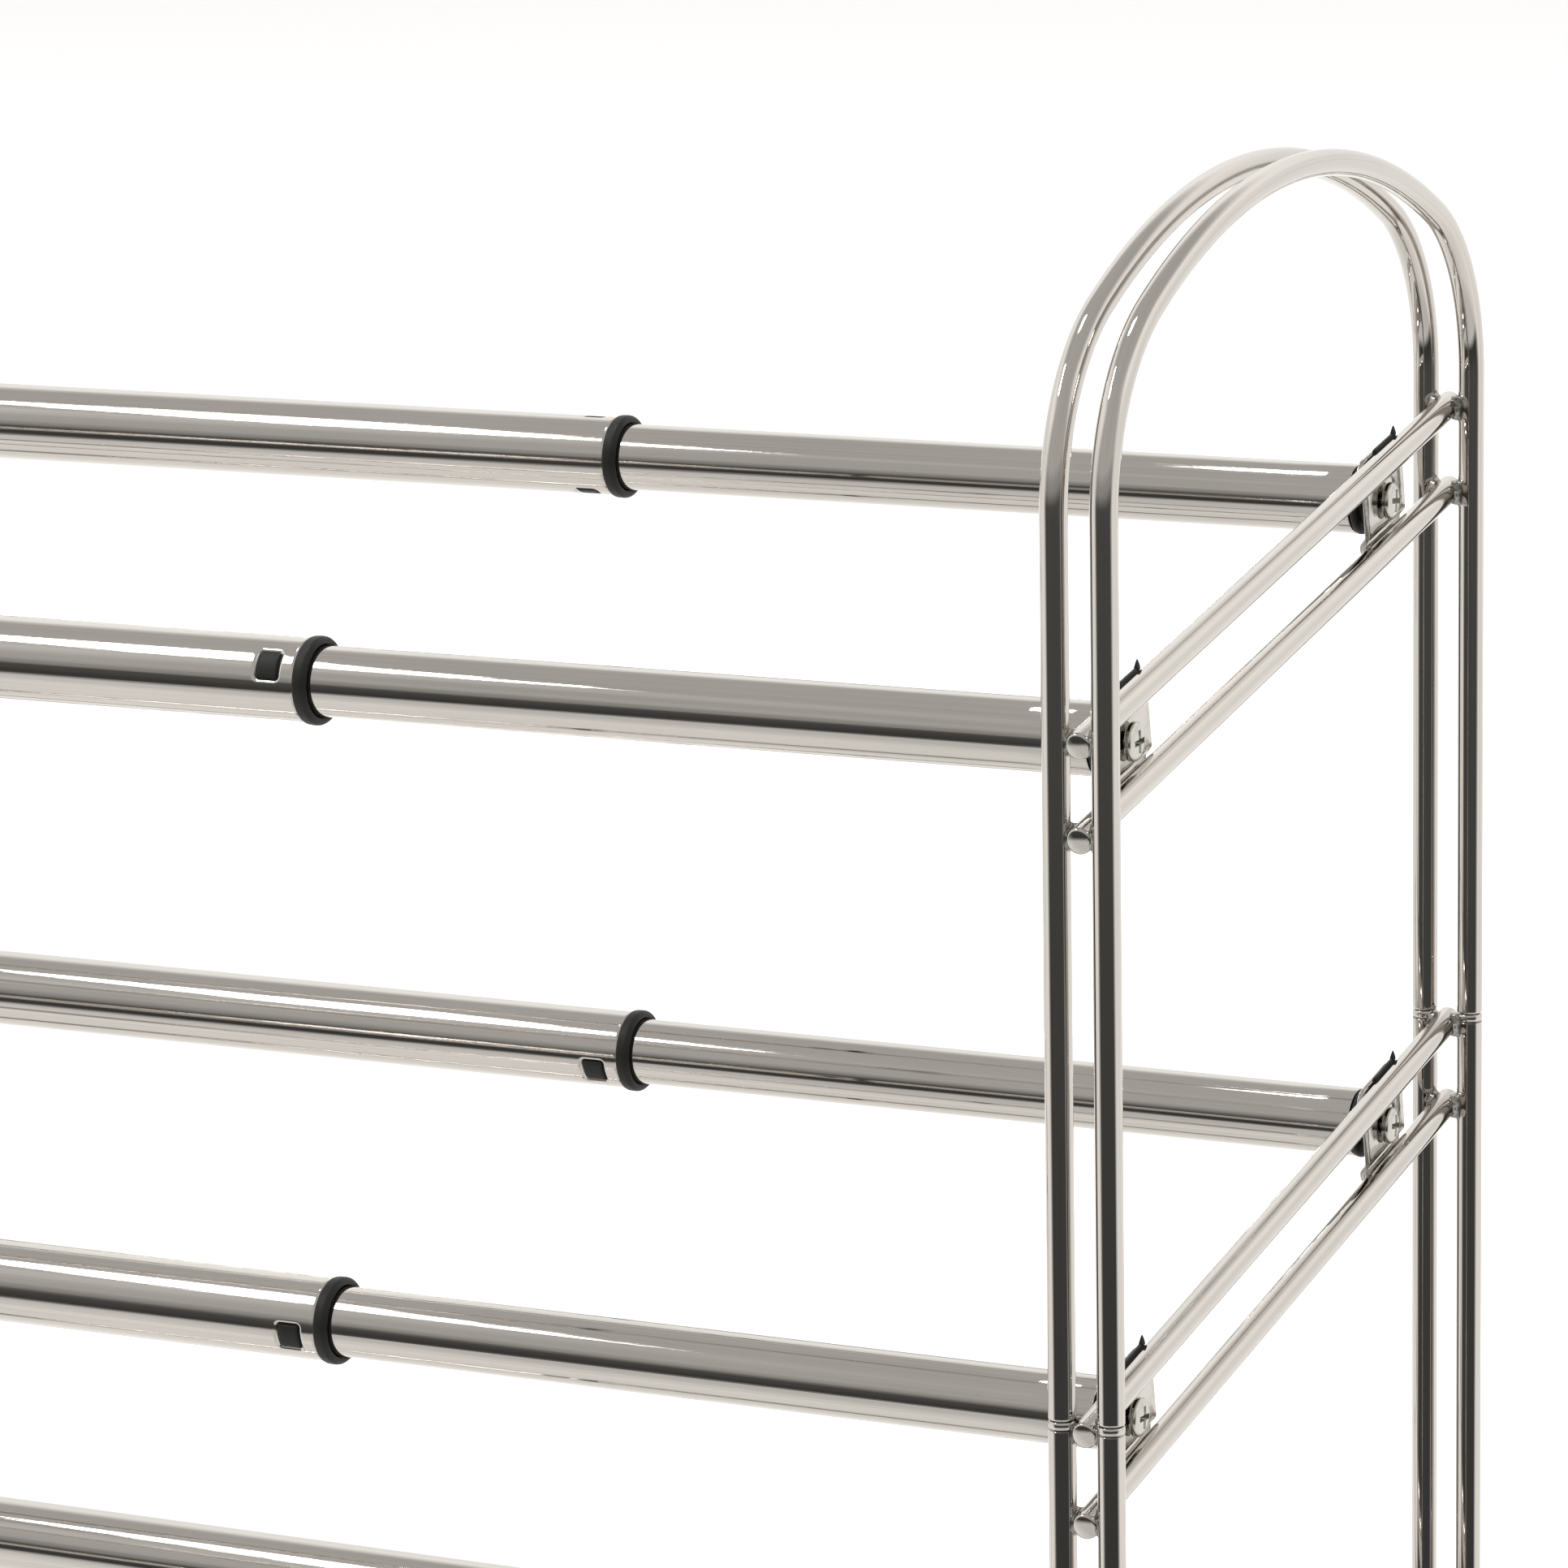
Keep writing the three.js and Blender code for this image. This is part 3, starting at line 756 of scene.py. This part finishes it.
def bracket_mesh():
    """Clamp plate for the right-hand end, about its own centre: stamped sheet with a rolled rim and a shallow
    dished seat for the screw. Local y runs along the slope."""
    t, xm = 1.1, -4.25
    hw, hh, top_w, side_h = 12.0, 12.1, 9.2, 8.6
    corner = [(hw, -side_h), (hw, side_h), (top_w, hh), (-top_w, hh), (-hw, side_h), (-hw, -side_h), (-top_w, -hh), (top_w, -hh)]
    outline = []
    for i in range(8):
        p0, p1, p2 = (np.array(corner[(i + k) % 8]) for k in (-1, 0, 1))
        a, b = (p0 - p1) / np.linalg.norm(p0 - p1), (p2 - p1) / np.linalg.norm(p2 - p1)
        for k in range(7):
            w = k / 6
            outline.append((1 - w) ** 2 * (p1 + a * 1.7) + 2 * w * (1 - w) * p1 + w * w * (p1 + b * 1.7))
    outline = np.array(outline)
    dense = []
    for i in range(len(outline)):
        p, q = outline[i], outline[(i + 1) % len(outline)]
        parts = max(1, round(np.linalg.norm(q - p) / 0.7))
        dense += [p + (q - p) * k / parts for k in range(parts)]
    dense = np.array(dense)
    ang = np.arctan2(dense[:, 1], dense[:, 0])
    rings = [1.0, 0.985, 0.965, 0.94, 0.91, 0.87, 0.82, 0.76, 0.69, 0.62, 0.56, 0.51, 0.47, 0.43, 0.38, 0.32, 0.26]
    bm = bmesh.new()
    loops = []
    for sc in rings:
        loop = []
        for p, w in zip(dense, ang):
            full = np.linalg.norm(p)
            r = full * sc if sc > 0.6 else 2.0 + (full * 0.6 - 2.0) * (sc - 0.26) / 0.34
            y, z = r * math.cos(w), r * math.sin(w)
            edge = (1 - sc) * full
            x = xm + 0.28 * max(0.0, 1 - edge / 1.6) ** 2
            lift = min(1.0, max(0.0, (7.7 - abs(z)) / 2.6))
            x += DISH * lift * lift * (3 - 2 * lift) + 0.12 * math.exp(-((r - 5.4) / 0.7) ** 2) * (1 if r < 7 else 0)
            loop.append(bm.verts.new((x * MM, y * MM, z * MM)))
        loops.append(loop)
    n = len(dense)
    for a, b in zip(loops, loops[1:]):
        for k in range(n):
            j = (k + 1) % n
            bm.faces.new((a[k], a[j], b[j], b[k]))
    me = bpy.data.meshes.new("bracket_tmp")
    bm.to_mesh(me)
    bm.free()
    o = bpy.data.objects.new("bracket_tmp", me)
    bpy.context.scene.collection.objects.link(o)
    so = o.modifiers.new("solid", "SOLIDIFY")
    so.thickness, so.offset, so.use_even_offset = t * MM, 0.0, True
    be = o.modifiers.new("edge", "BEVEL")
    be.width, be.segments, be.limit_method, be.angle_limit = 0.3 * MM, 3, "ANGLE", math.radians(50)
    out = applied(o)
    v, f = arrays_of(out)
    bpy.data.meshes.remove(out)
    return v / MM, f


def shade_strip_mesh(half_pitch):
    """Black strip between the clamp plate and the upper bar, with a small end lip: a dark part that paints the shade in
    the gap between plate and bar.
    """
    s = Soup()
    for zc, y0, y1 in ((half_pitch, -3.6, 9.4),):
        sec = []
        for k in range(15):
            a = math.pi - math.asin(2.35 / 3.1) + 2 * math.asin(2.35 / 3.1) * k / 14
            sec.append((3.1 * math.cos(a), 3.1 * math.sin(a)))
        top, bot = sec[0][1] + (1.25 if zc > 0 else 0.1), sec[-1][1]
        sec += [(-2.5, bot - 0.12), (-3.1, bot + 0.05), (-3.28, bot + 0.35), (-3.28, top - 0.35), (-3.1, top - 0.05), (-2.5, top + 0.12)]
        n = len(sec)
        cuts = [y0, y0 + 0.12, y0 + 0.5] + list(np.linspace(y0 + 0.5, y1 - 0.5, 9)[1:-1]) + [y1 - 0.5, y1 - 0.12, y1]
        verts, faces = [], []
        for i, y in enumerate(cuts):
            k = 0.86 if i in (0, len(cuts) - 1) else (0.95 if i in (1, len(cuts) - 2) else 1.0)
            for x, z in sec:
                verts.append((-2.9 + (x + 2.9) * k, y, zc + z * k))
        for i in range(len(cuts) - 1):
            for j in range(n):
                m = (j + 1) % n
                faces.append((i * n + j, i * n + m, (i + 1) * n + m, (i + 1) * n + j))
        verts += [(-2.85, cuts[0], zc), (-2.85, cuts[-1], zc)]
        for j in range(n):
            m = (j + 1) % n
            faces.append((len(verts) - 2, m, j))
            faces.append((len(verts) - 1, (len(cuts) - 1) * n + j, (len(cuts) - 1) * n + m))
        s.add(verts, faces)
        if zc > 0:
            tip = [(-3.2, 7.9), (-2.2, 7.9), (-2.2, 9.4), (-3.2, 9.4)]
            verts, levels = [], ((0.0, 1.0), (0.7, 0.9), (1.4, 0.6), (2.0, 0.3), (2.25, 0.12))
            for h, k in levels:
                cx, cy = -2.7, 8.65 + h * 0.2
                verts += [(cx + (x - cx) * k, cy + (y - 8.65) * k, zc + 3.0 + h) for x, y in tip]
            faces = [(0, 1, 2, 3)] + [(i * 4 + j, i * 4 + (j + 1) % 4, i * 4 + 4 + (j + 1) % 4, i * 4 + 4 + j) for i in range(len(levels) - 1) for j in range(4)]
            b = (len(levels) - 1) * 4
            faces.append((b + 3, b + 2, b + 1, b))
            s.add(verts, faces)
    return s.arrays()


def screw_mesh(x_floor, head_r=4.3):
    """Pan-head cross-recess screw pointing to -X, head seat at x_floor."""
    prof = [(x_floor - 17.0, 0.0), (x_floor - 16.6, 0.35), (x_floor - 15.4, 1.4)]
    x = x_floor - 15.2
    while x < x_floor - 1.7:
        prof += [(x, 1.28), (x + 0.3, 1.58), (x + 0.6, 1.28)]
        x += 0.85
    prof += [(x_floor - 0.05, 1.45), (x_floor, head_r - 0.2), (x_floor + 0.1, head_r - 0.05), (x_floor + 0.3, head_r), (x_floor + 0.85, head_r)]
    for k in range(1, 15):
        a = math.radians(90 * k / 15)
        prof.append((x_floor + 0.85 + 1.22 * math.sin(a), head_r * (0.25 + 0.75 * math.cos(a) ** 0.75)))
    prof += [(x_floor + 2.07, head_r * 0.2), (x_floor + 2.08, 0.0)]
    v, f, _ = lathe(prof, 56)
    me = make_mesh("screw_tmp", v, f, None, [SCREW], sharp=50)
    o = bpy.data.objects.new("screw_tmp", me)
    bpy.context.scene.collection.objects.link(o)
    cutters = []
    for turn in (0.0, 90.0):
        bm = bmesh.new()
        top, bot = x_floor + 2.5, x_floor + 0.35
        corners = []
        for xx, hl, hw in ((bot, 0.9, 0.34), (top, 3.1, 0.72)):
            corners.append([bm.verts.new((xx * MM, a * MM, b * MM)) for a, b in ((-hl, -hw), (hl, -hw), (hl, hw), (-hl, hw))])
        bm.faces.new(corners[0][::-1])
        bm.faces.new(corners[1])
        for k in range(4):
            j = (k + 1) % 4
            bm.faces.new((corners[0][k], corners[0][j], corners[1][j], corners[1][k]))
        bmesh.ops.recalc_face_normals(bm, faces=bm.faces)
        bmesh.ops.rotate(bm, verts=bm.verts, cent=(0, 0, 0), matrix=Matrix.Rotation(math.radians(turn), 3, "X"))
        cm = bpy.data.meshes.new("cut")
        bm.to_mesh(cm)
        bm.free()
        c = bpy.data.objects.new("cut", cm)
        bpy.context.scene.collection.objects.link(c)
        c.hide_render = True
        cutters.append(c)
        mod = o.modifiers.new("cut", "BOOLEAN")
        mod.operation, mod.object, mod.solver = "DIFFERENCE", c, "EXACT"
    bpy.context.view_layer.update()
    out = applied(o)
    for c in cutters:
        bpy.data.objects.remove(c)
    v, f = arrays_of(out)
    bpy.data.meshes.remove(out)
    return v / MM, f


def window_angle(node, edge_x, ty, tz, r_out):
    """Which way a tube's windows face, found from where its CAD wall is cut."""
    co = np.array([v.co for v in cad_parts[node].data.vertices]) / MM
    near = co[np.abs(co[:, 0] - edge_x) < 0.06]
    near = near[np.hypot(near[:, 1] - ty, near[:, 2] - tz) > r_out - 0.45]
    ang = np.degrees(np.arctan2(near[:, 2] - tz, -(near[:, 1] - ty)))
    two = np.radians(ang * 2)
    return math.degrees(math.atan2(np.sin(two).mean(), np.cos(two).mean())) / 2


def mirrored(shape, side):
    v, f = shape
    return v * [side, 1, 1], f if side > 0 else [tuple(reversed(q)) for q in f]


def rails():
    shared = {}
    for tier in TIERS:
        for row in ROWS:
            rail = f"{tier}_{row}"
            level = LEVEL[tier]
            lo, hi = (np.array(c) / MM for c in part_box(rail + "_outer_tube"))
            ilo, ihi = (np.array(c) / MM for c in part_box(rail + "_inner_tube"))
            clo, chi = (np.array(c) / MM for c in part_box(rail + "_collar"))
            ty, tz = (lo[1] + hi[1]) / 2, (lo[2] + hi[2]) / 2
            at = Matrix.Translation(Vector((0, ty, tz)) * MM)
            mouth = hi[0] + (0.5 if row == "front" else 0.0)
            window_x = mouth - 3.4 - CUT_L / 2
            angle = window_angle(rail + "_outer_tube", hi[0] - 3.6 - CUT_L, ty, tz, 9.5)
            shell = tube_with_windows(lo[0] - DISH, mouth, 9.5, 0.5, window_x, angle)
            place(rail + "_outer_tube_fine", tube_mesh(rail + "_outer_tube_fine", *shell, TUBE), f"left_{level}", [rail + "_outer_tube"], at)
            if "inner" not in shared:
                shared["inner"] = make_mesh("inner_tube_fine", *inner_tube_mesh(ilo[0], ihi[0] + DISH, 8.0, 0.7), [TUBE])
            spin = Matrix.Rotation(math.radians(spread(rail)), 4, "X")
            place(rail + "_inner_tube_fine", shared["inner"], f"right_{level}", [rail + "_inner_tube"], at @ spin)
            v, f, uv, _ = collar_mesh(mouth + 0.2, 3.2, angle, window_x, 10.0, 22.0)
            place(rail + "_collar_fine", make_mesh(rail + "_collar_fine", v, f, uv, [BLACK]), f"left_{level}", [rail + "_collar"], at)
            for end, side in ENDS:
                cx = float(sum(np.array(c)[0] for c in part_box(f"upper_end_frame_{end}")) / 2 / MM)
                body = f"{end}_{level}"
                if "plug" + end not in shared:
                    r_body, r_fl = (7.1, 8.15) if side > 0 else (8.7, 9.7)
                    shared["plug" + end] = make_mesh("plug" + end, *plug_mesh(-10.0, r_body, r_fl, side), [BLACK])
                    shared["screw" + end] = make_mesh("screw" + end, *mirrored(SCREW_SHAPE, side), None, [SCREW], sharp=28)
                    shared["bracket" + end] = make_mesh("bracket" + end, *mirrored(BRACKET_SHAPE, side), None, [PRESSED], sharp=55)
                    shared["shade_strip" + end] = make_mesh("shade_strip" + end, *mirrored(SHADE_STRIP_SHAPE, side), None, [BLACK], sharp=40)
                here = Matrix.Translation(Vector((cx, ty, tz)) * MM)
                place(f"{rail}_{end}_plug_fine", shared["plug" + end], body, [f"{rail}_{end}_plug"], here)
                turn = Matrix.Rotation(math.radians(spread(rail + end) % 17 - 8), 4, "X")
                place(f"{rail}_{end}_screw_fine", shared["screw" + end], body, [f"{rail}_{end}_screw"], here @ turn)
                blo, bhi = (np.array(c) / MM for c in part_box(f"{rail}_{end}_bracket"))
                mid = Vector((cx, (blo[1] + bhi[1]) / 2, (blo[2] + bhi[2]) / 2)) * MM
                tilt = Matrix.Translation(mid) @ Matrix.Rotation(SLOPE, 4, "X")
                place(f"{rail}_{end}_bracket_fine", shared["bracket" + end], body, [f"{rail}_{end}_bracket"], tilt)
                # the black strip over the upper bar is painted shade: a dark part put in the shaded gap between clamp
                # plate and bar
                place(f"{rail}_{end}_bracket_shade_strip", shared["shade_strip" + end], body, (), tilt)


def spread(name):
    """A fixed, uneven number of degrees for each name."""
    return sum((i + 3) * ord(c) for i, c in enumerate(name)) * 7 % 360


HALF_PITCH = BAR_SPACING * math.cos(SLOPE) / 2
BRACKET_SHAPE = bracket_mesh()
# black strip standing in for the shade between clamp plate and upper bar (painted shade)
_lv, _lf, _, _ = shade_strip_mesh(HALF_PITCH)
SHADE_STRIP_SHAPE = (_lv, _lf)
SCREW_SHAPE = screw_mesh(-3.05 + DISH)

for end, _ in ENDS:
    upper_frame(end)
    lower_frame(end)
rails()


# ------------------------------------------------------------------ studio
# Plain studio: (elevation, light) stops for the pale room, and for the side in front with a soft dark card low down.
ROOM = [(-90, 0.9), (-30, 1.2), (10, 1.1), (30, 1.3), (50, 0.6), (90, 0.6)]
CARD = [(-90, 0.8), (-30, 0.8), (-22, 0.06), (-5, 0.1), (5, 0.4), (15, 0.6), (90, 0.6)]


def build_world():
    """Plain pale room all round, with a soft dark card low in front."""
    w = bpy.data.worlds.new("studio")
    bpy.context.scene.world = w
    w.use_nodes = True
    nt = w.node_tree
    nt.nodes.clear()
    out = nt.nodes.new("ShaderNodeOutputWorld")
    bg = nt.nodes.new("ShaderNodeBackground")
    plain = nt.nodes.new("ShaderNodeBackground")
    plain.inputs[0].default_value = (1, 1, 1, 1)
    plain.inputs[1].default_value = 1.05
    mix = nt.nodes.new("ShaderNodeMixShader")
    path = nt.nodes.new("ShaderNodeLightPath")
    nt.links.new(path.outputs["Is Camera Ray"], mix.inputs[0])
    nt.links.new(bg.outputs[0], mix.inputs[1])
    nt.links.new(plain.outputs[0], mix.inputs[2])
    nt.links.new(mix.outputs[0], out.inputs[0])
    d = nt.nodes.new("ShaderNodeTexCoord").outputs["Generated"]
    sep = nt.nodes.new("ShaderNodeSeparateXYZ")
    nt.links.new(d, sep.inputs[0])
    X, Y, Z = sep.outputs

    def math_node(op, a, b=None):
        m = nt.nodes.new("ShaderNodeMath")
        m.operation = op
        for i, v in enumerate((a, b)):
            if v is None:
                continue
            if isinstance(v, (int, float)):
                m.inputs[i].default_value = v
            else:
                nt.links.new(v, m.inputs[i])
        return m.outputs[0]

    el = math_node("ADD", math_node("MULTIPLY", math_node("ARCSINE", Z), 1 / math.pi), 0.5)

    def ramp(stops):
        r = nt.nodes.new("ShaderNodeValToRGB")
        r.color_ramp.interpolation = "EASE"
        while len(r.color_ramp.elements) < len(stops):
            r.color_ramp.elements.new(0.5)
        for e, (deg, v) in zip(r.color_ramp.elements, stops):
            e.position = (deg + 90) / 180
        for e, (deg, v) in zip(r.color_ramp.elements, stops):
            e.color = (v, v, v, 1.0)
        nt.links.new(el, r.inputs[0])
        return r.outputs[0]

    side = nt.nodes.new("ShaderNodeMapRange")
    side.interpolation_type = "SMOOTHSTEP"
    side.inputs["From Min"].default_value = 0.2
    side.inputs["From Max"].default_value = 0.6
    nt.links.new(math_node("ADD", math_node("MULTIPLY", X, 0.3), math_node("MULTIPLY", Y, -0.95)), side.inputs["Value"])
    both = nt.nodes.new("ShaderNodeMix")
    both.data_type = "RGBA"
    nt.links.new(side.outputs["Result"], both.inputs[0])
    nt.links.new(ramp(ROOM), both.inputs[6])
    nt.links.new(ramp(CARD), both.inputs[7])
    total = both.outputs[2]
    warm = nt.nodes.new("ShaderNodeMix")
    warm.data_type = "RGBA"
    warm.blend_type = "MULTIPLY"
    warm.inputs[0].default_value = 1.0
    warm.inputs[7].default_value = (1.012, 0.998, 0.975, 1.0)
    nt.links.new(total, warm.inputs[6])
    lit = warm.outputs[2]
    nt.links.new(lit, bg.inputs[0])
    bg.inputs[1].default_value = 1.0
    return w


build_world()

floor_me = bpy.data.meshes.new("floor")
floor_me.from_pydata([(-30, -30, 0), (30, -30, 0), (30, 30, 0), (-30, 30, 0)], [], [(0, 1, 2, 3)])
floor = bpy.data.objects.new("floor", floor_me)
bpy.context.scene.collection.objects.link(floor)
fm, fnt, fb = new_material("pale_floor")
fb.inputs["Base Color"].default_value = (0.86, 0.86, 0.86, 1)
fb.inputs["Roughness"].default_value = 0.8
fb.inputs["Emission Color"].default_value = (1, 1, 1, 1)
fb.inputs["Emission Strength"].default_value = 0.22
fb.inputs["Specular IOR Level"].default_value = 0.1
floor_me.materials.append(fm)
floor.visible_glossy = False


def area(name, at, target, size, power, glossy=False, shape="RECTANGLE"):
    li = bpy.data.lights.new(name, "AREA")
    li.shape = shape
    li.size, li.size_y = size
    li.energy = power
    o = bpy.data.objects.new(name, li)
    bpy.context.scene.collection.objects.link(o)
    o.location = at
    o.rotation_euler = (Vector(target) - Vector(at)).to_track_quat("-Z", "Y").to_euler()
    o.visible_glossy = glossy
    return o


area("overhead", (0.0, 0.3, 3.2), (0, 0.1, 0), (3.5, 3.0), 75)
area("front_left", (-1.6, -2.6, 1.9), (0, 0, 0.25), (1.4, 1.4), 16)
area("front_right", (2.6, -1.6, 1.6), (0.3, 0, 0.25), (1.2, 1.2), 10)


area("softbox_left", (-1.7, -1.5, 3.2), (-1.7, -1.4999, 0), (0.4, 1.2), 35, True)
area("softbox_middle", (-0.5, 0.1, 3.2), (-0.5, 0.1001, 0), (0.5, 0.5), 20, True)

# ------------------------------------------------------------------ camera
cam = bpy.data.cameras.new("camera")
cam_o = bpy.data.objects.new("camera", cam)
bpy.context.scene.collection.objects.link(cam_o)
yaw, pitch, roll = 0.4495236367101448, 0.20436862681587112, -0.018056540359817252
cam.sensor_width = 36.0
cam.lens = 8336.467 / 1932.0 * 36.0
cam.clip_start, cam.clip_end = 0.01, 200.0
fwd = Vector((-math.sin(yaw) * math.cos(pitch), math.cos(yaw) * math.cos(pitch), -math.sin(pitch)))
right = Vector((math.cos(yaw), math.sin(yaw), 0))
upv = right.cross(fwd)
r = math.cos(roll) * right + math.sin(roll) * upv
u = -math.sin(roll) * right + math.cos(roll) * upv
mw = Matrix((
    (r.x, u.x, -fwd.x, 0.94367), (r.y, u.y, -fwd.y, -1.36800), (r.z, u.z, -fwd.z, 0.62892), (0, 0, 0, 1)))
cam_o.matrix_world = mw
bpy.context.scene.camera = cam_o
bpy.context.scene.view_settings.view_transform = "Standard"
bpy.context.scene.view_settings.look = "None"
